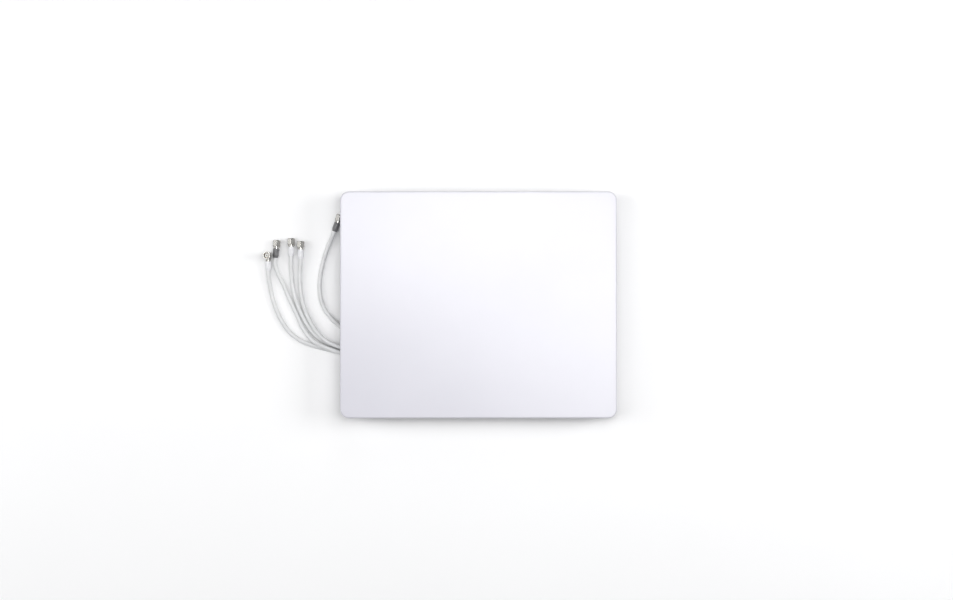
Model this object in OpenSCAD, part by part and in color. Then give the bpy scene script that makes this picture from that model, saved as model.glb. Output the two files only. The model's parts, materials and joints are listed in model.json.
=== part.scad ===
// Flat panel antenna of a shop security gate, lying on its back with its face up.
// Origin: centre of the flat rear face. +X along the long side, +Z out of the face.
// Units: millimetres.

/* [Panel] */
// Length of the long side of the face
panel_w = 305; // [300:1:320]
// Length of the short side of the face
panel_h = 250; // [246:1:262]
// Overall thickness from rear face to front face
panel_t = 34; // [33:0.5:38]
// Radius of the four corners of the face, seen from the front
corner_r = 10; // [8:0.5:14]
// Rounding of the edge between face and sides
edge_r = 1.5; // [1:0.5:3]
// Wall thickness of the front cover
cover_wall = 2.5; // [2:0.1:3]

/* [Rear housing] */
// Length of the rear housing along X
housing_w = 255; // [252:1:258]
// Length of the rear housing along Y
housing_h = 200; // [198:1:206]
// Height of the rear housing, up to its seal
housing_t = 15; // [15:0.5:16]
// Wall thickness of the rear housing
housing_wall = 2.5; // [2:0.1:3]
// Hole spacing of the square mounting pattern
mount_pitch = 100; // [75:25:100]

/* [Radiators] */
// Side of each square circuit board
board_side = 84; // [78:1:86]
// Side of each square metal patch
patch_side = 70; // [60:1:74]
// Air gap between the reflector and the boards
board_gap = 8; // [6:0.5:8]

/* [Leads and plugs] */
// Outer diameter of a coaxial lead
lead_d = 4.8; // [4.4:0.1:4.9]
// Width across the flats of a coupling nut
nut_flats = 8; // [7.8:0.1:8]
// Length of a coupling nut
nut_len = 8.5; // [8:0.1:9]
// Outer diameter of the sleeve over a crimp ferrule
sleeve_d = 7.2; // [6.9:0.1:7.4]

/* [Hidden] */
$fn = 64;

// clearance between parts that touch, and the overlap that keeps a cut clean
gap = 0.05;
cut = 1;

// heights of the layers, from the rear face forwards
seal_t = 1;
plate_z = housing_t + seal_t;
plate_t = 2;
plate_top = plate_z + plate_t;
gasket_t = 1.5;
cover_z = plate_z - 1;
cover_roof = panel_t - cover_wall;
board_z = plate_top + board_gap;
board_t = 1.6;
patch_t = 0.5;

// plan of the front cover, its rebate and the plate that sits in it
rim_wall = cover_wall + 0.5;
ledge_w = 2.5;
plate_gap = 0.3;
plate_w = panel_w - 2 * (rim_wall + plate_gap);
plate_h = panel_h - 2 * (rim_wall + plate_gap);
plate_r = corner_r - rim_wall;
housing_r = 8;
housing_edge_r = 2;

// blank label in a shallow recess of the rear face
label_w = 70;
label_h = 36;
label_r = 2;
label_gap = 1;
label_x = 78;
label_recess = 0.4;
label_t = 0.2;

// screws that hold the cover: M3, in from behind, and the bosses that take them
cover_boss_r = 4;
cover_hole = [panel_w / 2 - 11.5, panel_h / 2 - 12];
cover_points = [for (x = [-1, 0, 1], y = [-1, 0, 1])
    if (x != 0 || y != 0) [x * cover_hole.x, y * cover_hole.y]];
m3_r = 1.5;
m3_head_r = 2.8;
m3_head_t = 2.2;
cover_screw_len = 10;

// screws that hold the rear housing: M4, in from behind through long bosses
housing_boss_r = 5;
housing_hole = [housing_w / 2 - 10.5, housing_h / 2 - 10];
housing_points = [for (x = [-1, 0, 1], y = [-1, 1]) [x * housing_hole.x, y * housing_hole.y]];
m4_r = 2;
m4_head_r = 3.5;
m4_head_t = 2.4;
counterbore = 3;

// threaded inserts of the mounting pattern
insert_r = 3;
insert_bore_r = 1.65;
insert_len = 8;
insert_boss_r = 6;
insert_boss_t = 12;
mount_points = [for (x = [-1, 1], y = [-1, 1]) [x * mount_pitch / 2, y * mount_pitch / 2]];

// radiators: four near the corners and one in the middle
board_x = 92;
board_y = 68;
board_points = [[board_x, board_y], [board_x, -board_y], [-board_x, board_y], [-board_x, -board_y], [0, 0]];
board_hole = board_side / 2 - 6;
spacer_r = 3;
feed_offset = 20;
feed_points = [for (p = board_points) [p.x < 0 ? p.x + feed_offset : p.x - feed_offset, p.y]];
pin_r = 0.65;
feed_z = 11.5;
trim = 12;

// leads: height of the two rows of holes in the rubber, and their places along the left side
low_z = 5.5;
high_z = 11.5;
lead_r = lead_d / 2;
hole_r = lead_r + gap;
table_z = 2.5;
far_y = -57;
near_y = -51;
loop_y = -34.5;
wall_x = -housing_w / 2;
exit_x = wall_x - 2.5;
inner_x = wall_x + housing_wall;
flange_in = 2;
clamp_x = wall_x + 5.5;
clamp_len = 10;
clamp_low = -68.5;
clamp_high = -24.5;
clamp_screw_y = [-64.5, -43, -28.5];
clamp_top_z = housing_t - 0.2;
clamp_bite = 1.5;

// plugs: places along a plug's axis, counted from the rear end of its sleeve
ferrule_s = 2.5;
ferrule_r = 3.1;
ferrule_bore_r = 2;
stem_r = ferrule_bore_r - gap;
collar_s = 10.5;
collar_t = 0.8;
nut_s = collar_s + 1;
lip_t = 1.5;
bearing_r = 2.8;
front_s = nut_s + nut_len;
face_s = front_s - 2.5;
shell_r = 2.3;
insulator_r = 2;
insulator_s = collar_s + 0.6;
contact_r = 0.455;
contact_tip = 1.8;
thread_r = 3.175;
thread_minor_r = 2.95;
thread_pitch = 0.706;
relief_r = 3.2;
relief_len = 3.4;

// the elbow plug lies on its back with its coupling nut up
elbow_z = 4;
elbow_half = 3.75;
elbow_neck = 3;
elbow_side = 7;
elbow_s = collar_s + elbow_neck + elbow_side / 2;
plug_z = 4.7;

// each plug: where its sleeve starts, and the direction of its axis in degrees
plug_from = [[-235.3, 38], [-227.2, 52.5], [-209.7, 54.5], [-199, 51.2], [-161.3, 82]];
plug_turn = [91, 84.3, 88.7, 89.3, 69.6];
plug_height = [elbow_z, plug_z, plug_z, plug_z, plug_z];
plug_dir = [for (a = plug_turn) [cos(a), sin(a), 0]];
plug_base = [for (i = [0:4]) [plug_from[i].x, plug_from[i].y, plug_height[i]]];
straight_run = 4;

// outer leads, from the rubber in the left side to the plug
lead_run = [
    [[exit_x, far_y, low_z], [-136, far_y, low_z], [-145, -55.5, 3.8], [-155.5, -53, 2.7],
     [-166.5, -50.6, table_z], [-176.5, -48, table_z], [-186.5, -45.2, table_z],
     [-197, -41.2, table_z], [-206.7, -35, table_z], [-214.8, -26.6, table_z],
     [-221.3, -16.5, table_z], [-226.4, -5.3, table_z], [-230.4, 6.5, table_z],
     [-233, 18, 2.8], [-234.6, 28, 3.5]],
    [[exit_x, far_y, high_z], [-136, far_y, high_z], [-145, -55.8, 10], [-155.5, -53, 8.3],
     [-166.3, -49.4, 7.6], [-177, -45, 7.1], [-186, -39.6, 5], [-193, -31.6, 3.2],
     [-198.5, -22.7, table_z], [-202.4, -13.7, table_z], [-206.2, -5.3, table_z],
     [-210.2, 3.1, table_z], [-214.5, 13.2, table_z], [-218.7, 23.3, table_z],
     [-223.3, 32.5, 2.9], [-226.3, 41, 3.9]],
    [[exit_x, near_y, low_z], [-136, near_y, low_z], [-145, -50, 3.9], [-155.5, -47.6, 2.8],
     [-164, -45.2, table_z], [-172.3, -41.6, table_z], [-179.6, -36.6, table_z],
     [-186, -30.2, table_z], [-191.6, -22.6, table_z], [-196.3, -14.3, table_z],
     [-200.4, -5.7, table_z], [-204.2, 4.2, table_z], [-207, 14.9, table_z],
     [-208.8, 25.5, 2.7], [-209.6, 35.6, 3.4], [-209.8, 44, 4.2]],
    [[exit_x, near_y, high_z], [-136, near_y, high_z], [-145, -50, 9.8], [-155.5, -47, 8.2],
     [-166, -42.8, 7.7], [-174.8, -36.8, 7.1], [-182, -28.8, 5.6], [-187.8, -19.8, 4.1],
     [-192.6, -10.2, 3], [-196.2, 0.3, table_z], [-198.6, 12.1, table_z],
     [-199.9, 23.3, table_z], [-200, 33, 3], [-199.4, 41.5, 4]],
    [[exit_x, loop_y, low_z], [-136, loop_y, low_z], [-146, -31.4, 4], [-155.5, -23.8, 2.8],
     [-163, -17, table_z], [-169.7, -9, table_z], [-174.6, 0.5, table_z],
     [-177.3, 11, table_z], [-178, 23, table_z], [-176.8, 35.5, table_z],
     [-174, 48, table_z], [-170.7, 59, 2.8], [-166.8, 69, 3.6]]];

// inner leads, from the same rubber to the feed point of each radiator
inner_run = [
    [[exit_x, far_y, low_z], [-110, far_y, low_z], [-95, -62, low_z], [-75, -72, low_z],
     [-50, -77, low_z], [-20, -78, low_z], [15, -77, low_z], [40, -72, 8]],
    [[exit_x, far_y, high_z], [-110, far_y, high_z], [-98, -60, high_z], [-90, -66, high_z]],
    [[exit_x, near_y, low_z], [-110, near_y, low_z], [-96, -47, low_z], [-84, -37, low_z],
     [-72, -24, low_z], [-60, -12, 6.5], [-48, -3, 9]],
    [[exit_x, near_y, high_z], [-110, near_y, high_z], [-97, -46, high_z], [-88, -34, high_z],
     [-80, -18, high_z], [-68, 0, high_z], [-50, 14, high_z], [-28, 24, high_z],
     [-5, 34, high_z], [15, 48, high_z], [35, 62, high_z]],
    [[exit_x, loop_y, low_z], [-110, loop_y, low_z], [-100, -31.8, low_z], [-92.7, -24.5, low_z],
     [-90, -14.5, low_z], [-91, 0, low_z], [-96, 15, low_z], [-101.5, 30, low_z],
     [-103.5, 46, 7.5], [-100.8, 58, 9.8], [-93.5, 65.3, 11.2]]];
// which radiator each lead feeds
lead_feeds = [1, 3, 4, 0, 2];
feed_run = 11.5;
feed_stub = 4;

tube_sides = 10;

// colours
white_plastic = "#f3f4f7";
grey_plastic = "#d9dbde";
label_silver = "#cfd0d2";
rubber_black = "#2b2c2f";
aluminium = "#c3c6ca";
nickel = "#c9c6bf";
gold = "#cfa548";
copper = "#c87f52";
board_green = "#3f6b4a";
ptfe = "#f7f7f2";
lead_white = "#eceded";
sleeve_white = "#f1f1f4";
sleeve_grey = "#6d6e72";
sleeve_colours = [sleeve_white, sleeve_grey, sleeve_white, sleeve_white, sleeve_grey];

// ---- shared shapes ----

module outline(w, h, r) {
    square([w - 2 * r, h], center = true);
    square([w, h - 2 * r], center = true);
    for (x = [-1, 1], y = [-1, 1]) translate([x * (w / 2 - r), y * (h / 2 - r)]) circle(r);
}

module slab(w, h, r, z, t) {
    translate([0, 0, z]) linear_extrude(t) outline(w, h, r);
}

module post(p, r, z, t) {
    translate([p.x, p.y, z]) cylinder(r = r, h = t);
}

// rod along +X through [x, y, z]
module rod_x(x, y, z, r, len) {
    translate([x, y, z]) rotate([0, 90, 0]) cylinder(r = r, h = len);
}

// washer-shaped ring about the Z axis
module ring(inner, outer, z, t) {
    translate([0, 0, z]) difference() {
        cylinder(r = outer, h = t);
        translate([0, 0, -cut]) cylinder(r = inner, h = t + 2 * cut);
    }
}

// screw with its head below, pointing up, with a hexagon socket in the head
module screw(p, r, head_r, head_t, z, len) {
    socket_r = head_r * 0.5;
    socket_depth = head_t * 0.6;
    difference() {
        union() {
            post(p, head_r, z - head_t, head_t);
            post(p, r, z, len);
        }
        translate([p.x, p.y, z - head_t - cut]) cylinder(r = socket_r, h = socket_depth + cut, $fn = 6);
    }
}

// ---- swept tube of a lead ----

function unit(v) = v / norm(v);
function heading(p, i) = unit(p[min(i + 1, len(p) - 1)] - p[max(i - 1, 0)]);
function across(t) = unit(cross(t, [0, 0, 1]));
function tube_ring(p, i) =
    let (t = heading(p, i), u = across(t), v = cross(u, t))
    [for (k = [0:tube_sides - 1]) let (a = k * 360 / tube_sides) p[i] + lead_r * (cos(a) * u + sin(a) * v)];

module tube(p) {
    n = tube_sides;
    last = (len(p) - 1) * n;
    points = [for (i = [0:len(p) - 1]) each tube_ring(p, i)];
    walls = [for (i = [0:len(p) - 2], k = [0:n - 1])
        [i * n + k, (i + 1) * n + k, (i + 1) * n + (k + 1) % n, i * n + (k + 1) % n]];
    first_cap = [for (k = [0:n - 1]) k];
    last_cap = [for (k = [n - 1:-1:0]) last + k];
    polyhedron(points = points, faces = concat([first_cap], walls, [last_cap]));
}

// route of an outer lead: its run, then straight into the rear of its plug
function outer_route(i) =
    concat(lead_run[i], [plug_base[i] - straight_run * plug_dir[i], plug_base[i] + ferrule_s * plug_dir[i]]);

// route of an inner lead: its run, then straight along +X to the feed point
function inner_route(i) =
    let (f = feed_points[lead_feeds[i]])
    concat(inner_run[i], [[f.x - feed_run, f.y, feed_z], [f.x - feed_stub, f.y, feed_z]]);

// ---- enclosure ----

// block of thickness t on z = 0 with upright corners of radius r and its upper edge rolled to radius e
module rolled_block(w, h, r, e, t) {
    roll_z = t - e;
    flat_w = w - 2 * e;
    flat_h = h - 2 * e;
    flat_r = r - e;
    slab(w, h, r, 0, roll_z);
    slab(flat_w, flat_h, flat_r, 0, t);
    for (y = [-1, 1]) rod_x(-(flat_w / 2 - flat_r), y * flat_h / 2, roll_z, e, flat_w - 2 * flat_r);
    for (x = [-1, 1]) translate([x * flat_w / 2, flat_h / 2 - flat_r, roll_z])
        rotate([90, 0, 0]) cylinder(r = e, h = flat_h - 2 * flat_r);
    for (x = [-1, 1], y = [-1, 1]) translate([x * (flat_w / 2 - flat_r), y * (flat_h / 2 - flat_r), roll_z])
        rotate_extrude() translate([flat_r, 0]) circle(e);
}

module front_cover() {
    rebate_w = panel_w - 2 * rim_wall;
    rebate_h = panel_h - 2 * rim_wall;
    color(white_plastic) difference() {
        translate([0, 0, cover_z]) rolled_block(panel_w, panel_h, corner_r, edge_r, panel_t - cover_z);
        difference() {
            union() {
                slab(rebate_w, rebate_h, plate_r, cover_z - cut, plate_top + gasket_t - cover_z + cut);
                slab(rebate_w - 2 * ledge_w, rebate_h - 2 * ledge_w, plate_r - ledge_w, cover_z,
                     cover_roof - cover_z);
            }
            for (p = cover_points) post(p, cover_boss_r, plate_top, cover_roof - plate_top + cut);
        }
        for (p = cover_points) post(p, m3_r + gap, plate_top - cut, cover_screw_len + cut);
    }
}

// notch in the left wall for a rubber grommet, open at the seal
module wall_notch(y, w) {
    translate([wall_x - cut, y - w / 2, housing_wall]) cube([housing_wall + 2 * cut, w, housing_t]);
}

bundle_w = 18;
single_w = 12;
bundle_y = (far_y + near_y) / 2;

module lead_holes(x, len) {
    for (y = [far_y, near_y], z = [low_z, high_z]) rod_x(x, y, z, hole_r, len);
    rod_x(x, loop_y, low_z, hole_r, len);
}

module rear_housing() {
    color(grey_plastic) difference() {
        union() {
            difference() {
                translate([0, 0, housing_t]) mirror([0, 0, 1])
                    rolled_block(housing_w, housing_h, housing_r, housing_edge_r, housing_t);
                slab(housing_w - 2 * housing_wall, housing_h - 2 * housing_wall, housing_r - housing_wall,
                     housing_wall, housing_t);
                translate([label_x, 0, 0])
                    slab(label_w + 2 * label_gap, label_h + 2 * label_gap, label_r + label_gap, -cut,
                         label_recess + cut);
                wall_notch(bundle_y, bundle_w);
                wall_notch(loop_y, single_w);
            }
            for (p = housing_points) post(p, housing_boss_r, 0, plate_z);
            for (p = mount_points) post(p, insert_boss_r, 0, insert_boss_t);
            translate([clamp_x, clamp_low, housing_wall - gap])
                cube([clamp_len, clamp_high - clamp_low, low_z - housing_wall + gap]);
        }
        lead_holes(clamp_x - cut, clamp_len + 2 * cut);
        for (y = clamp_screw_y) post([clamp_x + clamp_len / 2, y], m3_r + gap, clamp_bite, low_z);
        for (p = housing_points) post(p, m4_r + gap, -cut, plate_z + 2 * cut);
        for (p = housing_points) post(p, m4_head_r + 0.3, -cut, counterbore + cut);
        for (p = mount_points) post(p, insert_r, -cut, insert_len + cut);
        for (p = mount_points) post(p, insert_bore_r, -cut, insert_len + 2 + cut);
    }
}

// blank label, sunk just below the rear face
module rating_label() {
    color(label_silver) translate([label_x, 0, 0])
        slab(label_w, label_h, label_r, label_recess - label_t, label_t);
}

module reflector_plate() {
    color(aluminium) difference() {
        slab(plate_w, plate_h, plate_r, plate_z, plate_t);
        for (p = cover_points) post(p, m3_r + gap, plate_z - cut, plate_t + 2 * cut);
        for (p = housing_points) post(p, m4_r + gap, plate_z - cut, plate_t + 2 * cut);
        for (p = board_points) board_corners(p) post([0, 0], m3_r + gap, plate_z - cut, plate_t + 2 * cut);
        for (p = feed_points) post(p, 2.5, plate_z - cut, plate_t + 2 * cut);
    }
}

module cover_gasket() {
    color(rubber_black) difference() {
        slab(plate_w, plate_h, plate_r, plate_top, gasket_t);
        slab(plate_w - 2 * ledge_w, plate_h - 2 * ledge_w, plate_r - ledge_w, plate_top - cut,
             gasket_t + 2 * cut);
    }
}

module housing_gasket() {
    color(rubber_black) difference() {
        slab(housing_w, housing_h, housing_r, housing_t, seal_t);
        slab(housing_w - 2 * housing_wall, housing_h - 2 * housing_wall, housing_r - housing_wall,
             housing_t - cut, seal_t + 2 * cut);
    }
}

module cover_screws() {
    color(nickel) for (p = cover_points) screw(p, m3_r, m3_head_r, m3_head_t, plate_z, cover_screw_len);
}

module housing_screws() {
    color(nickel) for (p = housing_points)
        screw(p, m4_r, m4_head_r, m4_head_t, counterbore, plate_top - counterbore);
}

module mount_inserts() {
    color(gold) for (p = mount_points) translate([p.x, p.y, 0]) ring(insert_bore_r, insert_r, 0, insert_len);
}

// rubber grommet in a wall notch, with a flange on each side of the wall
module grommet(y, w) {
    lip = 2;
    foot = housing_edge_r;
    difference() {
        union() {
            translate([exit_x, y - w / 2 - lip, foot]) cube([wall_x - exit_x, w + 2 * lip, housing_t - foot]);
            translate([wall_x - gap, y - w / 2, housing_wall])
                cube([housing_wall + 2 * gap, w, housing_t - housing_wall]);
            translate([inner_x, y - w / 2 - lip, housing_wall])
                cube([flange_in, w + 2 * lip, housing_t - housing_wall]);
        }
        lead_holes(exit_x - cut, inner_x + flange_in - exit_x + 2 * cut);
    }
}

module grommet_bundle() {
    color(rubber_black) grommet(bundle_y, bundle_w);
}

module grommet_single() {
    color(rubber_black) grommet(loop_y, single_w);
}

// one layer of the strain-relief clamp
module clamp_layer(z, top) {
    difference() {
        translate([clamp_x, clamp_low, z]) cube([clamp_len, clamp_high - clamp_low, top - z]);
        lead_holes(clamp_x - cut, clamp_len + 2 * cut);
        for (y = clamp_screw_y) post([clamp_x + clamp_len / 2, y], m3_r + gap, z - cut, top - z + 2 * cut);
    }
}

module clamp_middle() {
    color(white_plastic) clamp_layer(low_z, high_z);
}

module clamp_top() {
    color(white_plastic) difference() {
        clamp_layer(high_z, clamp_top_z);
        for (y = clamp_screw_y)
            post([clamp_x + clamp_len / 2, y], m3_head_r + 0.2, clamp_top_z - m3_head_t, m3_head_t + cut);
    }
}

module clamp_screws() {
    color(nickel) for (y = clamp_screw_y)
        translate([clamp_x + clamp_len / 2, y, clamp_top_z - m3_head_t]) rotate([180, 0, 0])
            screw([0, 0], m3_r, m3_head_r, m3_head_t, 0, clamp_top_z - m3_head_t - clamp_bite);
}

// ---- radiators ----

module board_corners(p) {
    for (x = [-1, 1], y = [-1, 1]) translate([p.x + x * board_hole, p.y + y * board_hole, 0]) children();
}

module patch_board(i) {
    p = board_points[i];
    color(board_green) difference() {
        translate([p.x, p.y, 0]) slab(board_side, board_side, 3, board_z, board_t);
        board_corners(p) post([0, 0], m3_r + gap, board_z - cut, board_t + 2 * cut);
        post(feed_points[i], pin_r + gap, board_z - cut, board_t + 2 * cut);
    }
}

// square patch with two opposite corners trimmed, which turns the wave's polarisation
module patch(i) {
    p = board_points[i];
    s = patch_side / 2;
    color(copper) difference() {
        translate([p.x, p.y, board_z + board_t]) linear_extrude(patch_t)
            polygon([[-s, -s + trim], [-s + trim, -s], [s - trim * 0.1, -s], [s, -s + trim * 0.1],
                     [s, s - trim], [s - trim, s], [-s + trim * 0.1, s], [-s, s - trim * 0.1]]);
        post(feed_points[i], pin_r + gap, board_z, board_t + patch_t + cut);
        board_corners(p) post([0, 0], m3_head_r + 1.5, board_z, board_t + patch_t + cut);
    }
}

module patch_spacers() {
    color(ptfe) for (p = board_points) board_corners(p) ring(m3_r + gap, spacer_r, plate_top, board_gap);
}

module patch_screws() {
    head_z = board_z + board_t;
    color(ptfe) for (p = board_points) board_corners(p)
        translate([0, 0, head_z]) rotate([180, 0, 0])
            screw([0, 0], m3_r, m3_head_r, m3_head_t, 0, head_z - plate_z);
}

module feed_pins() {
    color(gold) for (p = feed_points) {
        post(p, pin_r, feed_z, board_z + board_t + patch_t + 0.4 - feed_z);
        rod_x(p.x - feed_stub, p.y, feed_z, pin_r, feed_stub);
        translate([p.x, p.y, feed_z]) sphere(pin_r);
    }
}

module feed_saddles() {
    saddle_len = 6;
    saddle_w = 9;
    saddle_foot = 3;
    color(nickel) for (p = feed_points) difference() {
        translate([p.x - feed_stub - saddle_len - 1, p.y - saddle_w / 2, feed_z - saddle_foot])
            cube([saddle_len, saddle_w, plate_z - feed_z + saddle_foot]);
        rod_x(p.x - feed_run, p.y, feed_z, hole_r, feed_run);
    }
}

module inner_lead(i) {
    color(lead_white) tube(inner_route(i));
}

module lead(i) {
    color(lead_white) tube(outer_route(i));
}

// ---- plugs ----

// rear of plug i: its sleeve starts at z = 0 and its axis runs along +Z
module at_rear(i) {
    translate(plug_base[i]) rotate([0, 0, plug_turn[i]]) rotate([0, 90, 0]) children();
}

// front of plug i: the same, except that the elbow plug's front points up
module at_front(i) {
    if (i == 0) translate(plug_base[0] + elbow_s * plug_dir[0] + [0, 0, elbow_half - collar_s])
        rotate([0, 0, plug_turn[0]]) children();
    else at_rear(i) children();
}

// front of the body, turned: base, collar, bearing for the nut, and outer contact
module front_shell() {
    base_t = 0.5;
    collar_r = ferrule_r + 0.2;
    bore_r = insulator_r + 0.02;
    rotate_extrude() polygon([
        [0, collar_s - base_t], [stem_r, collar_s - base_t], [stem_r, collar_s], [collar_r, collar_s],
        [collar_r, collar_s + collar_t], [bearing_r, collar_s + collar_t], [bearing_r, nut_s + lip_t],
        [shell_r, nut_s + lip_t], [shell_r, face_s], [bore_r, face_s], [bore_r, insulator_s],
        [0, insulator_s]]);
}

// stem inside the ferrule, which the lead's braid is crimped onto
module crimp_stem() {
    translate([0, 0, ferrule_s + 0.5]) cylinder(r = stem_r, h = collar_s - ferrule_s);
}

module plug_body(i) {
    color(nickel) {
        at_front(i) front_shell();
        at_rear(i) crimp_stem();
        if (i == 0) elbow();
    }
}

// square elbow with a round neck towards the ferrule
module elbow() {
    at_rear(0) translate([0, 0, collar_s]) cylinder(r = ferrule_r, h = elbow_neck + 0.5);
    at_rear(0) translate([-elbow_half, -elbow_side / 2, collar_s + elbow_neck])
        cube([2 * elbow_half, elbow_side, elbow_side]);
}

// half profile of the thread: a row of grooves
function thread_grooves() = [for (k = [0:5]) let (s = nut_s + lip_t + relief_len + k * thread_pitch)
    each [[thread_minor_r, s], [thread_r, s + thread_pitch / 2]]];

module plug_nut(i) {
    flats_r = nut_flats / 2 / cos(30);
    shoulder_r = nut_flats / 2 - 0.05;
    rear_ring = 1;
    mouth_r = thread_r + 0.15;
    color(nickel) at_front(i) difference() {
        union() {
            translate([0, 0, nut_s]) cylinder(r = shoulder_r, h = nut_len);
            translate([0, 0, nut_s + rear_ring])
                cylinder(r = flats_r, h = nut_len - rear_ring - 0.5, $fn = 6);
        }
        rotate_extrude() polygon(concat(
            [[0, nut_s - cut], [bearing_r + gap, nut_s - cut], [bearing_r + gap, nut_s + lip_t],
             [relief_r, nut_s + lip_t], [relief_r, nut_s + lip_t + relief_len - 0.3]],
            thread_grooves(),
            [[thread_minor_r, front_s - 0.3], [mouth_r, front_s], [mouth_r, front_s + cut],
             [0, front_s + cut]]));
    }
}

// shrunk sleeve: wide over the ferrule, necked down onto the lead
module plug_sleeve(i) {
    neck_r = lead_r + 0.7;
    color(sleeve_colours[i]) at_rear(i) rotate_extrude() polygon([
        [hole_r, 0], [neck_r, 0], [neck_r, ferrule_s * 0.5], [sleeve_d / 2, ferrule_s],
        [sleeve_d / 2, collar_s], [ferrule_r + gap, collar_s], [ferrule_r + gap, ferrule_s],
        [hole_r, ferrule_s]]);
}

module crimp_ferrules() {
    color(nickel) for (i = [0:4]) at_rear(i) ring(ferrule_bore_r, ferrule_r, ferrule_s, collar_s - ferrule_s);
}

module centre_pins() {
    tip = 0.5;
    color(gold) for (i = [0:4]) at_front(i) rotate_extrude() polygon([
        [0, insulator_s], [contact_r, insulator_s], [contact_r, face_s + contact_tip - tip],
        [contact_r * 0.4, face_s + contact_tip], [0, face_s + contact_tip]]);
}

module insulators() {
    color(ptfe) for (i = [0:4]) at_front(i)
        ring(contact_r + 0.01, insulator_r, insulator_s, face_s - insulator_s);
}

module snap_rings() {
    color(nickel) for (i = [0:4]) at_front(i) ring(shell_r + 0.02, 2.9, nut_s + lip_t + gap, 0.7);
}

module face_gaskets() {
    color("#b5563a") for (i = [0:4]) at_front(i) ring(shell_r + 0.02, 3, nut_s + lip_t + 0.85, 0.9);
}

front_cover();
rear_housing();
reflector_plate();
cover_gasket();
housing_gasket();
cover_screws();
housing_screws();
mount_inserts();
grommet_bundle();
grommet_single();
rating_label();
clamp_middle();
clamp_top();
clamp_screws();
patch_board(0);  // patch_board_1
patch_board(1);  // patch_board_2
patch_board(2);  // patch_board_3
patch_board(3);  // patch_board_4
patch_board(4);  // patch_board_5
patch(0);  // patch_1
patch(1);  // patch_2
patch(2);  // patch_3
patch(3);  // patch_4
patch(4);  // patch_5
patch_spacers();
patch_screws();
feed_pins();
feed_saddles();
inner_lead(0);  // inner_lead_1
inner_lead(1);  // inner_lead_2
inner_lead(2);  // inner_lead_3
inner_lead(3);  // inner_lead_4
inner_lead(4);  // inner_lead_5
lead(0);  // lead_1
lead(1);  // lead_2
lead(2);  // lead_3
lead(3);  // lead_4
lead(4);  // lead_5
plug_body(0);  // plug_1_body
plug_body(1);  // plug_2_body
plug_body(2);  // plug_3_body
plug_body(3);  // plug_4_body
plug_body(4);  // plug_5_body
plug_nut(0);  // plug_1_nut
plug_nut(1);  // plug_2_nut
plug_nut(2);  // plug_3_nut
plug_nut(3);  // plug_4_nut
plug_nut(4);  // plug_5_nut
plug_sleeve(0);  // plug_1_sleeve
plug_sleeve(1);  // plug_2_sleeve
plug_sleeve(2);  // plug_3_sleeve
plug_sleeve(3);  // plug_4_sleeve
plug_sleeve(4);  // plug_5_sleeve
crimp_ferrules();
centre_pins();
insulators();
snap_rings();
face_gaskets();
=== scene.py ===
import json
import math

import bmesh
import bpy
from mathutils import Matrix, Vector, noise


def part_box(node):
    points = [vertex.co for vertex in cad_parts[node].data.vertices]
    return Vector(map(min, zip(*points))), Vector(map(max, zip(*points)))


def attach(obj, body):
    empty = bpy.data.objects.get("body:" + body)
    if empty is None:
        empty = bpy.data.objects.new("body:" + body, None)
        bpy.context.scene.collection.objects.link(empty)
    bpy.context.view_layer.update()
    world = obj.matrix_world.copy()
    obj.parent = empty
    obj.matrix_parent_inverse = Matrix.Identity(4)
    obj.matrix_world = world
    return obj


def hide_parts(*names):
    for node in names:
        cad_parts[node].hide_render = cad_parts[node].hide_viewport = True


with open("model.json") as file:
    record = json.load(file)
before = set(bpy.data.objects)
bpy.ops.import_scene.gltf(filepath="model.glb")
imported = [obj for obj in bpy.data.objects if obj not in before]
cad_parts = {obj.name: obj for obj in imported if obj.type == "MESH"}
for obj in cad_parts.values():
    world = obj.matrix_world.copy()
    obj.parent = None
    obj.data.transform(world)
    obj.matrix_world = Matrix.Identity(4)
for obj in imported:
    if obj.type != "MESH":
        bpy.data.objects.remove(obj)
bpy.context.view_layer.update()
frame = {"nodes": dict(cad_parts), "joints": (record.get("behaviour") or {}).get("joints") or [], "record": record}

MM = 0.001
SLOTS = {row["node"]: row["material_slot"] for row in frame["record"]["subparts"]}


# ---- camera ----

# The camera looks straight down on the face, a little off its centre.
CAMERA_HEIGHT = 1.8
CAMERA_OFFSET = (-0.0022, 0.00534)
LENS_MM = 61.76
SENSOR_MM = 36.0


def add_camera():
    data = bpy.data.cameras.new("camera")
    data.lens = LENS_MM
    data.sensor_width = SENSOR_MM
    data.clip_end = 50
    camera = bpy.data.objects.new("camera", data)
    bpy.context.scene.collection.objects.link(camera)
    face_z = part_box("front_cover")[1].z
    camera.location = (*CAMERA_OFFSET, face_z + CAMERA_HEIGHT)
    bpy.context.scene.camera = camera


add_camera()


# ---- materials ----

def add_node(tree, kind, **values):
    """A node with values on its input sockets, such as From_Min for From Min."""
    node = tree.nodes.new(kind)
    for name, value in values.items():
        node.inputs[name.replace("_", " ")].default_value = value
    return node


def noise_node(tree, scale, detail=3.0, rough=0.5, stretch=None):
    """Noise over the object's own coordinates; stretch squeezes it along each axis."""
    vector = add_node(tree, "ShaderNodeTexCoord").outputs["Object"]
    if stretch:
        mapping = add_node(tree, "ShaderNodeMapping", Scale=stretch)
        tree.links.new(vector, mapping.inputs["Vector"])
        vector = mapping.outputs["Vector"]
    texture = add_node(tree, "ShaderNodeTexNoise", Scale=scale, Detail=detail, Roughness=rough)
    tree.links.new(vector, texture.inputs["Vector"])
    return texture


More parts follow.
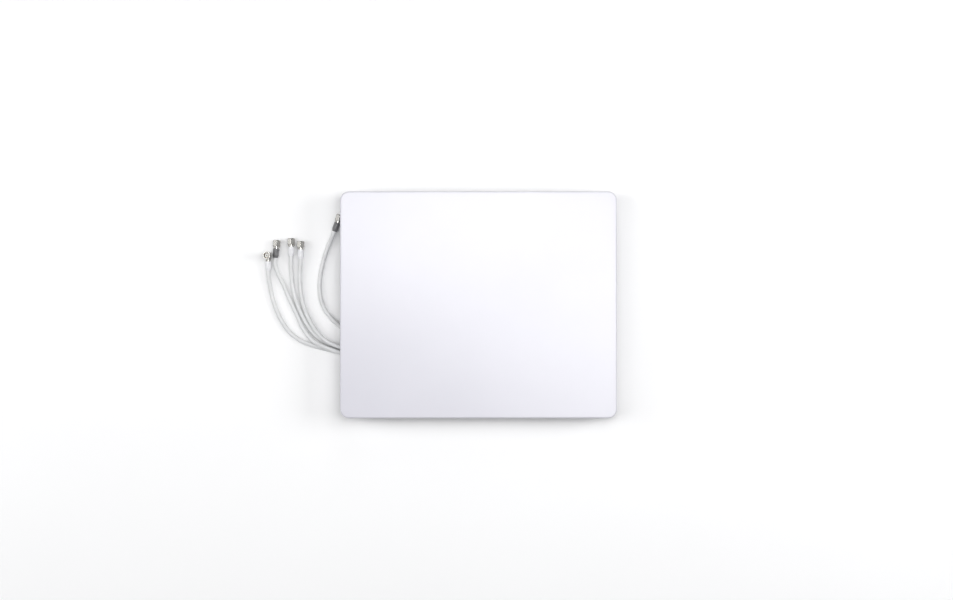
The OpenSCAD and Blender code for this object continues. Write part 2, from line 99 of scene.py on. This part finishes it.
def ramp_node(tree, source, low, high, start=0.3, end=0.7):
    """Colour ramp between two colours, driven by a noise."""
    ramp = add_node(tree, "ShaderNodeValToRGB")
    ramp.color_ramp.elements[0].position = start
    ramp.color_ramp.elements[1].position = end
    ramp.color_ramp.elements[0].color = (*low, 1)
    ramp.color_ramp.elements[1].color = (*high, 1)
    tree.links.new(source, ramp.inputs["Fac"])
    return ramp


def range_node(tree, source, low, high):
    """Maps a noise's middle range onto low to high."""
    mapped = add_node(tree, "ShaderNodeMapRange", From_Min=0.3, From_Max=0.7,
                      To_Min=low, To_Max=high)
    tree.links.new(source, mapped.inputs["Value"])
    return mapped


def bump_node(tree, source, distance, strength, before=None):
    bump = add_node(tree, "ShaderNodeBump", Distance=distance, Strength=strength)
    tree.links.new(source, bump.inputs["Height"])
    if before:
        tree.links.new(before.outputs["Normal"], bump.inputs["Normal"])
    return bump


def surface(name, low, high, rough, blotch, grain, bump=(0.00002, 0.3), stretch=None, **fixed):
    """A material whose colour and gloss drift with a coarse noise, under a fine grain in relief.

    low, high: the two ends of the colour; rough: the two ends of the roughness;
    blotch, grain: scales of the coarse and the fine noise; bump: depth in metres and strength;
    fixed: values set straight on the shader's sockets.
    """
    material = bpy.data.materials.new(name)
    material.use_nodes = True
    tree = material.node_tree
    shader = tree.nodes["Principled BSDF"]
    coarse = noise_node(tree, blotch, 4.0, 0.55, stretch)
    fine = noise_node(tree, grain, 2.0, 0.5, stretch)
    colour = ramp_node(tree, coarse.outputs["Fac"], low, high)
    gloss = range_node(tree, fine.outputs["Fac"], *rough)
    relief = bump_node(tree, fine.outputs["Fac"], *bump)
    swell = bump_node(tree, coarse.outputs["Fac"], bump[0] * 2, bump[1] * 0.5, relief)
    tree.links.new(colour.outputs["Color"], shader.inputs["Base Color"])
    tree.links.new(gloss.outputs["Result"], shader.inputs["Roughness"])
    tree.links.new(swell.outputs["Normal"], shader.inputs["Normal"])
    for socket, value in fixed.items():
        shader.inputs[socket.replace("_", " ")].default_value = value
    return material


MATERIALS = {
    "white_shell": surface("white_shell", (0.63, 0.625, 0.685), (0.655, 0.65, 0.71), (0.38, 0.48),
                           9, 1500, (0.00001, 0.12), Coat_Weight=1.0, Coat_Roughness=0.23),
    "grey_shell": surface("grey_shell", (0.58, 0.59, 0.61), (0.63, 0.64, 0.65), (0.45, 0.58),
                          14, 1300, (0.00003, 0.35)),
    "aluminium_sheet": surface("aluminium_sheet", (0.60, 0.61, 0.63), (0.72, 0.73, 0.74),
                               (0.25, 0.42), 40, 900, (0.00001, 0.25), (0.04, 1, 1), Metallic=1.0),
    "black_rubber": surface("black_rubber", (0.018, 0.018, 0.02), (0.035, 0.035, 0.038), (0.55, 0.75),
                            60, 1200, (0.00004, 0.4)),
    "steel_fastener": surface("steel_fastener", (0.50, 0.49, 0.46), (0.66, 0.66, 0.64), (0.22, 0.40),
                              220, 2500, (0.00001, 0.3), Metallic=1.0),
    "brass_insert": surface("brass_insert", (0.62, 0.42, 0.17), (0.74, 0.55, 0.26), (0.25, 0.42),
                            200, 2500, (0.00001, 0.3), Metallic=1.0),
    "label_film": surface("label_film", (0.56, 0.565, 0.575), (0.64, 0.645, 0.65), (0.25, 0.36),
                          30, 1100, (0.00001, 0.2)),
    "white_moulding": surface("white_moulding", (0.72, 0.72, 0.71), (0.78, 0.78, 0.77), (0.42, 0.55),
                              60, 1500, (0.00002, 0.3)),
    "circuit_board": surface("circuit_board", (0.02, 0.10, 0.05), (0.03, 0.14, 0.07), (0.28, 0.40),
                             60, 1600, (0.00002, 0.4)),
    "nylon": surface("nylon", (0.74, 0.74, 0.69), (0.82, 0.82, 0.78), (0.38, 0.52), 120, 1800,
                     (0.00002, 0.3)),
    "copper_patch": surface("copper_patch", (0.62, 0.31, 0.19), (0.74, 0.40, 0.26), (0.22, 0.38),
                            35, 1200, (0.00001, 0.25), Metallic=1.0),
    "gold_contact": surface("gold_contact", (0.80, 0.56, 0.20), (0.88, 0.66, 0.28), (0.14, 0.26),
                            300, 3500, (0.000005, 0.2), Metallic=1.0),
    "tinned_metal": surface("tinned_metal", (0.55, 0.56, 0.57), (0.68, 0.69, 0.70), (0.28, 0.45),
                            150, 1500, (0.00002, 0.4), Metallic=1.0),
    "lead_jacket": surface("lead_jacket", (0.66, 0.665, 0.67), (0.74, 0.745, 0.75), (0.30, 0.42),
                           70, 900, (0.00004, 0.25), Coat_Weight=0.15, Coat_Roughness=0.25),
    "plug_metal": surface("plug_metal", (0.60, 0.585, 0.55), (0.72, 0.71, 0.68), (0.12, 0.24),
                          320, 3200, (0.000006, 0.25), Metallic=1.0),
    "white_sleeve": surface("white_sleeve", (0.74, 0.745, 0.77), (0.80, 0.80, 0.82), (0.28, 0.42),
                            150, 1400, (0.00003, 0.3), Coat_Weight=0.2, Coat_Roughness=0.2),
    "grey_sleeve": surface("grey_sleeve", (0.12, 0.12, 0.125), (0.19, 0.19, 0.195), (0.26, 0.40),
                           150, 1400, (0.00003, 0.3), Coat_Weight=0.2, Coat_Roughness=0.2),
    "ptfe": surface("ptfe", (0.78, 0.78, 0.75), (0.84, 0.84, 0.82), (0.40, 0.52), 300, 2500,
                    (0.00001, 0.3), Subsurface_Weight=0.1),
    "red_silicone": surface("red_silicone", (0.34, 0.06, 0.03), (0.42, 0.09, 0.045), (0.45, 0.60),
                            300, 2500, (0.00002, 0.3)),
}


def dress_cad_nodes():
    """Gives every CAD node its slot's material and smooth shading with crisp edges."""
    for name, obj in frame["nodes"].items():
        obj.data.materials.clear()
        obj.data.materials.append(MATERIALS[SLOTS[name]])
        shade(obj.data)


def shade(mesh, limit=32):
    """Smooth shading, with edges sharper than limit degrees left crisp."""
    work = bmesh.new()
    work.from_mesh(mesh)
    for face in work.faces:
        face.smooth = True
    for edge in work.edges:
        flat = len(edge.link_faces) == 2 and edge.calc_face_angle(0) < math.radians(limit)
        edge.smooth = flat
    work.to_mesh(mesh)
    work.free()


dress_cad_nodes()


# ---- mesh helpers ----

def add_piece(name, verts, faces, slot, body, place=None, limit=32):
    """Makes a closed mesh piece, gives it a slot's material and rides it on a body."""
    mesh = bpy.data.meshes.new(name)
    mesh.from_pydata([tuple(v) for v in verts], [], faces)
    work = bmesh.new()
    work.from_mesh(mesh)
    bmesh.ops.remove_doubles(work, verts=work.verts, dist=1e-7)
    bmesh.ops.recalc_face_normals(work, faces=work.faces)
    if place:
        work.transform(place)
    work.to_mesh(mesh)
    work.free()
    shade(mesh, limit)
    mesh.materials.append(MATERIALS[slot])
    obj = bpy.data.objects.new(name, mesh)
    bpy.context.scene.collection.objects.link(obj)
    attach(obj, body)
    return obj


def stack_rings(rings, closed=True):
    """Joins rings of equal length with quads. closed joins the last ring to the first."""
    count = len(rings[0])
    verts = [v for ring in rings for v in ring]
    last = len(rings) if closed else len(rings) - 1
    faces = []
    for i in range(last):
        a, b = i * count, (i + 1) % len(rings) * count
        for k in range(count):
            n = (k + 1) % count
            faces.append((a + k, a + n, b + n, b + k))
    return verts, faces


def lathe(profile, steps=64, shape=None):
    """Turns a profile of (radius, height) in mm about Z. shape(r, z, angle) may change the radius.

    A profile that starts and ends on the axis gives a solid piece, any other one a tube.
    """
    on_axis = profile[0][0] == 0
    rings = []
    for r, z in profile[1:-1] if on_axis else profile:
        ring = []
        for k in range(steps):
            angle = 2 * math.pi * k / steps
            radius = shape(r, z, angle) if shape else r
            ring.append(Vector((radius * math.cos(angle), radius * math.sin(angle), z)) * MM)
        rings.append(ring)
    verts, faces = stack_rings(rings, not on_axis)
    if on_axis:
        last = len(verts) - steps
        for pole, first in ((profile[0][1], 0), (profile[-1][1], last)):
            verts.append(Vector((0, 0, pole)) * MM)
            faces += [(len(verts) - 1, first + k, first + (k + 1) % steps) for k in range(steps)]
    return verts, faces


def join(*parts):
    """Puts several (verts, faces) lists into one."""
    verts, faces = [], []
    for more_verts, more_faces in parts:
        start = len(verts)
        verts += more_verts
        faces += [tuple(start + i for i in f) for f in more_faces]
    return verts, faces


# ---- leads ----

LEAD_D = 4.8 * MM

# places in mm: where the leads leave their grommets, and a lead's height on the table
EXIT_X = -130.0
FAR_Y, NEAR_Y, LOOP_Y = -57.0, -51.0, -34.5
LOW_Z, HIGH_Z, TABLE_Z = 5.5, 11.5, 2.5
# straight run behind a sleeve, and how far the lead goes into it
STRAIGHT_RUN = 4.0
FERRULE_S = 2.5
# where each plug's sleeve starts, and the direction of its axis in degrees
PLUG_FROM = [(-235.3, 38, 4), (-227.2, 52.5, 4.7), (-209.7, 54.5, 4.7), (-199, 51.2, 4.7),
             (-161.3, 82, 4.7)]
PLUG_TURN = [91, 84.3, 88.7, 89.3, 69.6]

LEAD_RUNS = [
    [(EXIT_X, FAR_Y, LOW_Z), (-136, FAR_Y, LOW_Z), (-145, -55.5, 3.8), (-155.5, -53, 2.7),
     (-166.5, -50.6, TABLE_Z), (-176.5, -48, TABLE_Z), (-186.5, -45.2, TABLE_Z),
     (-197, -41.2, TABLE_Z), (-206.7, -35, TABLE_Z), (-214.8, -26.6, TABLE_Z),
     (-221.3, -16.5, TABLE_Z), (-226.4, -5.3, TABLE_Z), (-230.4, 6.5, TABLE_Z),
     (-233, 18, 2.8), (-234.6, 28, 3.5)],
    [(EXIT_X, FAR_Y, HIGH_Z), (-136, FAR_Y, HIGH_Z), (-145, -55.8, 10), (-155.5, -53, 8.3),
     (-166.3, -49.4, 7.6), (-177, -45, 7.1), (-186, -39.6, 5), (-193, -31.6, 3.2),
     (-198.5, -22.7, TABLE_Z), (-202.4, -13.7, TABLE_Z), (-206.2, -5.3, TABLE_Z),
     (-210.2, 3.1, TABLE_Z), (-214.5, 13.2, TABLE_Z), (-218.7, 23.3, TABLE_Z),
     (-223.3, 32.5, 2.9), (-226.3, 41, 3.9)],
    [(EXIT_X, NEAR_Y, LOW_Z), (-136, NEAR_Y, LOW_Z), (-145, -50, 3.9), (-155.5, -47.6, 2.8),
     (-164, -45.2, TABLE_Z), (-172.3, -41.6, TABLE_Z), (-179.6, -36.6, TABLE_Z),
     (-186, -30.2, TABLE_Z), (-191.6, -22.6, TABLE_Z), (-196.3, -14.3, TABLE_Z),
     (-200.4, -5.7, TABLE_Z), (-204.2, 4.2, TABLE_Z), (-207, 14.9, TABLE_Z),
     (-208.8, 25.5, 2.7), (-209.6, 35.6, 3.4), (-209.8, 44, 4.2)],
    [(EXIT_X, NEAR_Y, HIGH_Z), (-136, NEAR_Y, HIGH_Z), (-145, -50, 9.8), (-155.5, -47, 8.2),
     (-166, -42.8, 7.7), (-174.8, -36.8, 7.1), (-182, -28.8, 5.6), (-187.8, -19.8, 4.1),
     (-192.6, -10.2, 3), (-196.2, 0.3, TABLE_Z), (-198.6, 12.1, TABLE_Z),
     (-199.9, 23.3, TABLE_Z), (-200, 33, 3), (-199.4, 41.5, 4)],
    [(EXIT_X, LOOP_Y, LOW_Z), (-136, LOOP_Y, LOW_Z), (-146, -31.4, 4), (-155.5, -23.8, 2.8),
     (-163, -17, TABLE_Z), (-169.7, -9, TABLE_Z), (-174.6, 0.5, TABLE_Z),
     (-177.3, 11, TABLE_Z), (-178, 23, TABLE_Z), (-176.8, 35.5, TABLE_Z),
     (-174, 48, TABLE_Z), (-170.7, 59, 2.8), (-166.8, 69, 3.6)]]


def plug_axis(i):
    a = math.radians(PLUG_TURN[i])
    return Vector((math.cos(a), math.sin(a), 0))


def lead_route(i):
    """The lead's own points in metres: its run, then straight into the rear of its plug."""
    base, axis = Vector(PLUG_FROM[i]), plug_axis(i)
    points = [Vector(p) for p in LEAD_RUNS[i]] + [base - STRAIGHT_RUN * axis, base + FERRULE_S * axis]
    return [p * MM for p in points]


def smooth_line(points, steps=6):
    """A curve through the points (centripetal Catmull-Rom), with steps points for each stretch."""
    ends = [2 * points[0] - points[1], *points, 2 * points[-1] - points[-2]]
    line = []
    for a, b, c, d in zip(ends, ends[1:], ends[2:], ends[3:]):
        t0, t1 = 0.0, math.sqrt((b - a).length)
        t2 = t1 + math.sqrt((c - b).length)
        t3 = t2 + math.sqrt((d - c).length)
        for k in range(steps):
            t = t1 + (t2 - t1) * k / steps
            p = a.lerp(b, (t - t0) / (t1 - t0))
            q = b.lerp(c, (t - t1) / (t2 - t1))
            r = c.lerp(d, (t - t2) / (t3 - t2))
            pq = p.lerp(q, (t - t0) / (t2 - t0))
            qr = q.lerp(r, (t - t1) / (t3 - t1))
            line.append(pq.lerp(qr, (t - t1) / (t2 - t1)))
    line.append(points[-1].copy())
    return line


def line_length(line):
    return sum((b - a).length for a, b in zip(line, line[1:]))


def tube(line, radius, sides=24):
    """A closed round tube along a line, its rings square to the line."""
    rings = []
    for i, p in enumerate(line):
        ahead = (line[min(i + 1, len(line) - 1)] - line[max(i - 1, 0)]).normalized()
        side = ahead.cross(Vector((0, 0, 1))).normalized()
        up = side.cross(ahead)
        rings.append([p + radius * (math.cos(a) * side + math.sin(a) * up)
                      for a in (2 * math.pi * k / sides for k in range(sides))])
    verts, faces = stack_rings(rings, closed=False)
    last = len(verts) - sides
    faces.append(tuple(range(sides)))
    faces.append(tuple(last + k for k in reversed(range(sides))))
    return verts, faces


def add_lead(i):
    line = smooth_line(lead_route(i))
    lead = add_piece(f"coax_lead_{i + 1}", *tube(line, LEAD_D / 2), "lead_jacket", "panel")
    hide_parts(f"lead_{i + 1}")
    return lead, line


leads = [add_lead(i) for i in range(len(LEAD_RUNS))]


# ---- plugs ----

# places along a plug's axis in mm, counted from the rear of its sleeve
COLLAR_S, NUT_S, FRONT_S = 10.5, 11.5, 20.0
NUT_MIDDLE_S = (NUT_S + FRONT_S) / 2
# radii in mm: the nut's are half across its flats and the rounding of its corners
SLEEVE_R, FERRULE_R = 3.6, 3.1
NUT_FLAT_R, NUT_ROUND_R = 4.0, 0.35
# the nut's bore from the rear: a lip that bears on the body, a relief and the thread
BEARING_R, RELIEF_R = 2.85, 3.2
LIP_T, RELIEF_LEN = 1.5, 3.1
THREAD_R, THREAD_MINOR_R, THREAD_PITCH = 3.175, 2.95, 0.706


def axis_frame(base, axis):
    """Takes local Z to the axis, and local X straight down, or to +Y for an upright axis."""
    z = Vector(axis).normalized()
    x = Vector((0, 1, 0)) if abs(z.z) > 0.9 else Vector((0, 0, -1))
    y = z.cross(x)
    rotation = Matrix((x, y, z)).transposed().to_4x4()
    return Matrix.Translation(base) @ rotation


def rear_frame(i):
    return axis_frame(Vector(PLUG_FROM[i]) * MM, plug_axis(i))


def nut_frame(i):
    """Frame on the axis of nut i, from its joint, with the same zero as the places above."""
    joint = next(j for j in frame["joints"] if j["name"] == f"nut_{i + 1}_turn")
    axis = Vector(joint["axis"])
    return axis_frame(Vector(joint["pos_m"]) - NUT_MIDDLE_S * MM * axis, axis)


# half the angle that one of the nut's six sides takes
HALF_FACET = math.pi / 6
# distance of a corner's rounding centre from the axis, and half the angle that the rounding takes
CORNER_C = (NUT_FLAT_R - NUT_ROUND_R) / math.cos(HALF_FACET)
CORNER_REACH = math.atan(NUT_ROUND_R * math.sin(HALF_FACET)
                         / (CORNER_C + NUT_ROUND_R * math.cos(HALF_FACET)))


def nut_outside(r, z, angle):
    """Outer radius of the nut: a hexagon with rounded corners, turned down to r where r is less."""
    off_corner = (angle + HALF_FACET) % (2 * HALF_FACET) - HALF_FACET
    across = NUT_FLAT_R / math.cos(HALF_FACET - abs(off_corner))
    if abs(off_corner) < CORNER_REACH:
        across = (CORNER_C * math.cos(off_corner)
                  + math.sqrt(NUT_ROUND_R ** 2 - (CORNER_C * math.sin(off_corner)) ** 2))
    return min(across, r)


def nut_angles(flat_steps=13):
    """Angles round the nut: close together at its six corners, even along its flats."""
    angles = []
    flat = 2 * HALF_FACET - 2 * CORNER_REACH
    for corner in range(6):
        start = corner * 2 * HALF_FACET
        angles += [start, start + CORNER_REACH / 2]
        angles += [start + CORNER_REACH + flat * k / flat_steps for k in range(flat_steps + 1)]
        angles.append(start + 2 * HALF_FACET - CORNER_REACH / 2)
    return angles


def nut_mesh():
    """Coupling nut: chamfered hexagon, a round rear ring, a chamfered mouth and a spiral thread."""
    corner_r = NUT_FLAT_R / math.cos(HALF_FACET) + 0.01
    ring_r = NUT_FLAT_R - 0.1
    groove_r = ring_r - 0.25
    hex_start = NUT_S + 1.7
    outside = [(ring_r - 0.15, NUT_S), (ring_r, NUT_S + 0.12), (ring_r, NUT_S + 0.85),
               (groove_r, NUT_S + 1.0), (groove_r, NUT_S + 1.15), (ring_r + 0.1, NUT_S + 1.25)]
    outside += [(corner_r, hex_start + k * 0.6) for k in range(10)]
    outside += [(corner_r, FRONT_S - 0.75), (NUT_FLAT_R + 0.15, FRONT_S - 0.35),
                (NUT_FLAT_R - 0.1, FRONT_S - 0.1), (NUT_FLAT_R - 0.2, FRONT_S)]
    mouth = [(THREAD_R + 0.25, FRONT_S), (THREAD_R + 0.1, FRONT_S - 0.12),
             (THREAD_MINOR_R + 0.05, FRONT_S - 0.35)]
    thread_top, thread_end = FRONT_S - 0.45, NUT_S + LIP_T + RELIEF_LEN
    rows = 48
    thread = [(THREAD_MINOR_R, thread_top - (thread_top - thread_end) * k / rows)
              for k in range(rows + 1)]
    bore = [(RELIEF_R, thread_end - 0.1), (RELIEF_R, NUT_S + LIP_T), (BEARING_R, NUT_S + LIP_T),
            (BEARING_R, NUT_S + 0.1), (BEARING_R + 0.1, NUT_S)]

    def nut_inside(r, z, angle):
        if not thread_end <= z <= thread_top or r > THREAD_MINOR_R:
            return r
        phase = (z / THREAD_PITCH + angle / (2 * math.pi)) % 1
        fade = min(1, (thread_top - z) / 0.3)
        return r + (THREAD_R - THREAD_MINOR_R) * fade * (1 - abs(2 * phase - 1))

    angles = nut_angles()
    rings = []
    for profile, shape in ((outside, nut_outside), (mouth + thread + bore, nut_inside)):
        for r, z in profile:
            radii = [shape(r, z, a) for a in angles]
            rings.append([Vector((radius * math.cos(a), radius * math.sin(a), z)) * MM
                          for radius, a in zip(radii, angles)])
    return stack_rings(rings)


def sleeve_mesh(seed):
    """Shrunk sleeve, necked down onto the lead, with the ferrule's crimp showing faintly."""
    neck = LEAD_D / 2 / MM
    outside = [(neck + 0.05, 0.0), (neck + 0.28, 0.05), (neck + 0.42, 0.3), (neck + 0.46, 0.9),
               (neck + 0.6, 1.5), (neck + 0.85, 2.0), (SLEEVE_R - 0.12, 2.55), (SLEEVE_R - 0.03, 3.1)]
    outside += [(SLEEVE_R, 3.6 + 0.5 * k) for k in range(13)]
    outside += [(SLEEVE_R - 0.02, 10.0), (SLEEVE_R - 0.08, 10.3), (SLEEVE_R - 0.25, 10.45),
                (FERRULE_R + 0.1, COLLAR_S)]
    inside = [(FERRULE_R + 0.03, COLLAR_S - 0.2), (FERRULE_R + 0.03, 2.6), (neck + 0.03, 2.4),
              (neck + 0.03, 0.05)]
    crimp_start, crimp_end, crimp_fade = 3.2, 8.6, 0.8

    def shape(r, z, angle):
        if r < neck + 0.2 or z > COLLAR_S - 0.1:
            return r
        crimp = max(0.0, min(1.0, (z - crimp_start) / crimp_fade, (crimp_end - z) / crimp_fade))
        flat = 0.5 - 0.5 * math.cos(6 * angle)
        place = Vector((3 * math.cos(angle), 3 * math.sin(angle), 1.4 * z + 10 * seed))
        return r - 0.2 * crimp * flat - 0.05 * (noise.noise(place) + 1)

    return lathe(outside + inside, 72, shape)


def block_mesh(low, high, bevel):
    """A box from low to high in mm, with rounded edges."""
    work = bmesh.new()
    bmesh.ops.create_cube(work, size=1)
    for v in work.verts:
        for axis in range(3):
            v.co[axis] = (high if v.co[axis] > 0 else low)[axis]
    bmesh.ops.bevel(work, geom=list(work.edges), offset=bevel, segments=4, profile=0.5, affect="EDGES")
    work.verts.index_update()
    verts = [v.co * MM for v in work.verts]
    faces = [tuple(v.index for v in f.verts) for f in work.faces]
    work.free()
    return verts, faces


def moved(part, matrix):
    verts, faces = part
    return [matrix @ v for v in verts], faces


# the elbow's block, and the neck between block and sleeve with its groove, in mm
ELBOW_HALF, ELBOW_SIDE = 3.75, 7.0
ELBOW_NECK, NECK_R, NECK_GROOVE_R = 3.0, 3.1, 2.75
# the front's stem inside the nut, and the outer contact with its bore, in mm
STEM_R, STEM_END_S = 2.8, 13.0
SHELL_R, FACE_S, BORE_R = 2.3, 17.5, 2.02


def shell_profile(rear):
    """Collar, bearing and outer contact of a plug body, closed at the rear."""
    collar_r = FERRULE_R + 0.2
    return [(0, rear), (collar_r - 0.5, rear), (collar_r - 0.12, rear + 0.02), (collar_r, rear + 0.12),
            (collar_r, rear + 0.68), (collar_r - 0.12, rear + 0.8), (STEM_R, rear + 0.8),
            (STEM_R, STEM_END_S), (SHELL_R, STEM_END_S), (SHELL_R, FACE_S - 0.08),
            (SHELL_R - 0.08, FACE_S), (BORE_R, FACE_S), (BORE_R, COLLAR_S + 0.6),
            (0, COLLAR_S + 0.6)]


def elbow_mesh():
    """The elbow plug's body: rounded block, turned neck on the lead's side, and turned front."""
    to_front = rear_frame(0).inverted() @ nut_frame(0)
    block = block_mesh((-ELBOW_HALF, -ELBOW_SIDE / 2, COLLAR_S + ELBOW_NECK),
                       (ELBOW_HALF, ELBOW_SIDE / 2, COLLAR_S + ELBOW_NECK + ELBOW_SIDE), 0.45)
    start, end = COLLAR_S, COLLAR_S + ELBOW_NECK + 0.6
    neck = lathe([(0, start), (NECK_R - 0.2, start), (NECK_R, start + 0.2), (NECK_R, start + 0.9),
                  (NECK_GROOVE_R, start + 1.15), (NECK_GROOVE_R, start + 1.6),
                  (NECK_R, start + 1.85), (NECK_R, end), (0, end)], 64)
    shell = lathe(shell_profile(COLLAR_S), 64)
    return join(block, neck, moved(shell, to_front))


def add_plug(i):
    """The nut, sleeve and, for the elbow plug, the body, in place of their CAD solids."""
    number = i + 1
    nut = add_piece(f"coupling_nut_{number}", *nut_mesh(), "plug_metal", f"nut_{number}",
                    nut_frame(i), limit=25)
    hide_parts(f"plug_{number}_nut")
    sleeve_slot = SLOTS[f"plug_{number}_sleeve"]
    sleeve = add_piece(f"shrink_sleeve_{number}", *sleeve_mesh(i), sleeve_slot, "panel",
                       rear_frame(i), limit=50)
    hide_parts(f"plug_{number}_sleeve")
    pieces = [nut, sleeve]
    if i == 0:
        body = add_piece("elbow_body", *elbow_mesh(), "plug_metal", "panel", rear_frame(0), limit=30)
        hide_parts("plug_1_body")
        pieces.append(body)
    else:
        pieces.append(frame["nodes"][f"plug_{number}_body"])
    return pieces


plugs = [add_plug(i) for i in range(len(leads))]

for i, (lead, line) in enumerate(leads):
    tuple(line[0])
    line_length(line)
    [tuple(p) for p in line]


# ---- front cover ----

def rounded_loop(w, h, r, z, corner_steps=14, side_steps=6):
    """One loop round a rectangle with round corners, in mm, counter-clockwise."""
    points = []
    for quarter, (sx, sy) in enumerate(((1, 1), (-1, 1), (-1, -1), (1, -1))):
        centre = Vector((sx * (w / 2 - r), sy * (h / 2 - r), z))
        for k in range(corner_steps + 1):
            a = math.pi / 2 * (quarter + k / corner_steps)
            points.append(centre + Vector((r * math.cos(a), r * math.sin(a), 0)))
    loop = []
    for i, p in enumerate(points):
        loop.append(p * MM)
        if i % (corner_steps + 1) == corner_steps:
            after = points[(i + 1) % len(points)]
            loop += [p.lerp(after, k / side_steps) * MM for k in range(1, side_steps)]
    return loop


# the cover's section in mm: rolled edge, rim, ledge that the gasket meets, and wall
CORNER_R, EDGE_R, RIM, LEDGE, WALL = 10.0, 1.5, 3.0, 2.5, 2.5
# how far in from the sides the last loops lie, where one flat face closes the roof and the top
FLAT_INSET = 9.8


def cover_mesh():
    """The moulded cover: a shell with a rolled edge, a stepped rebate and a flat roof inside."""
    low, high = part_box("front_cover")
    w, h = (high.x - low.x) / MM, (high.y - low.y) / MM
    bottom, top = low.z / MM, high.z / MM
    roof = top - WALL
    rebate_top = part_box("cover_gasket")[1].z / MM
    shoulder = RIM + LEDGE
    inside = [(FLAT_INSET, roof), (shoulder + 1.5, roof), (shoulder + 0.4, roof - 0.3),
              (shoulder, roof - 1.2), (shoulder, rebate_top), (RIM, rebate_top),
              (RIM, bottom + 0.25), (RIM - 0.25, bottom)]
    outside = [(0.35, bottom), (0.1, bottom + 0.1), (0.0, bottom + 0.35), (0.0, top - EDGE_R - 0.6)]
    steps = 8
    for k in range(steps + 1):
        a = math.pi / 2 * k / steps
        outside.append((EDGE_R * (1 - math.cos(a)), top - EDGE_R * (1 - math.sin(a))))
    outside += [(EDGE_R + 0.8, top), (FLAT_INSET, top)]
    rings = [rounded_loop(w - 2 * inset, h - 2 * inset, CORNER_R - inset, z)
             for inset, z in inside + outside]
    verts, faces = stack_rings(rings, closed=False)
    count = len(rings[0])
    last = len(verts) - count
    faces.append(tuple(range(count)))
    faces.append(tuple(last + k for k in range(count)))
    return verts, faces


def add_cover():
    cover = add_piece("radome", *cover_mesh(), "white_shell", "panel", limit=40)
    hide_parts("front_cover")


add_cover()


# ---- floor, lights ----

def add_floor():
    half = 6.0
    corners = [(-half, -half, 0), (half, -half, 0), (half, half, 0), (-half, half, 0)]
    mesh = bpy.data.meshes.new("floor")
    mesh.from_pydata(corners, [], [(0, 1, 2, 3)])
    floor = bpy.data.objects.new("floor", mesh)
    bpy.context.scene.collection.objects.link(floor)
    paper = surface("paper_floor", (0.93, 0.93, 0.935), (0.945, 0.945, 0.95), (0.7, 0.85), 3, 400)
    mesh.materials.append(paper)


def add_light(name, place, size, power, mirrored=True):
    """A soft rectangular lamp aimed at the object, in metres and watts.

    mirrored: whether glossy surfaces reflect it.
    """
    data = bpy.data.lights.new(name, "AREA")
    data.shape = "RECTANGLE"
    data.size, data.size_y = size
    data.energy = power
    lamp = bpy.data.objects.new(name, data)
    bpy.context.scene.collection.objects.link(lamp)
    lamp.location = place
    lamp.rotation_euler = (-Vector(place)).to_track_quat("-Z", "Y").to_euler()
    lamp.visible_camera = False
    lamp.visible_glossy = mirrored


def add_lights():
    # two softboxes overhead, which the cover's coat mirrors: bright at the top, less at the bottom
    add_light("softbox", (0.13, 0.15, 2.0), (1.11, 0.56), 12.8)
    add_light("softbox_edge", (-0.34, 0.12, 2.0), (0.16, 0.6), 1.7)
    # lamps that light the floor and the sides but aren't mirrored
    add_light("key", (0.35, 0.25, 1.1), (0.5, 0.5), 2.5, mirrored=False)
    add_light("back", (0.1, 1.3, 0.8), (0.6, 0.6), 2.2, mirrored=False)
    add_light("right", (1.3, 0.13, 0.9), (0.8, 0.6), 9.1, mirrored=False)
    add_light("left_high", (-0.8, 0, 1.4), (0.6, 0.6), 4.5, mirrored=False)
    add_light("left_low", (-1.3, 0.2, 0.8), (0.6, 0.6), 4, mirrored=False)
    add_light("front_left", (-1, -0.9, 0.7), (0.6, 0.6), 1, mirrored=False)
    add_light("front_right", (1, -0.9, 0.7), (0.6, 0.6), 0.6, mirrored=False)
    # dim cards low at the sides, for the plugs' metal to mirror
    add_light("left_card", (-1.45, 0.1, 0.85), (1.2, 0.9), 3.4)
    add_light("right_card", (1.45, 0.1, 0.85), (1.2, 0.9), 1.5)
    world = bpy.data.worlds.new("studio")
    world.use_nodes = True
    background = world.node_tree.nodes["Background"]
    background.inputs["Color"].default_value = (0.95, 0.97, 1.0, 1)
    background.inputs["Strength"].default_value = 0.05
    bpy.context.scene.world = world
    bpy.context.scene.view_settings.view_transform = "Standard"


add_floor()
add_lights()
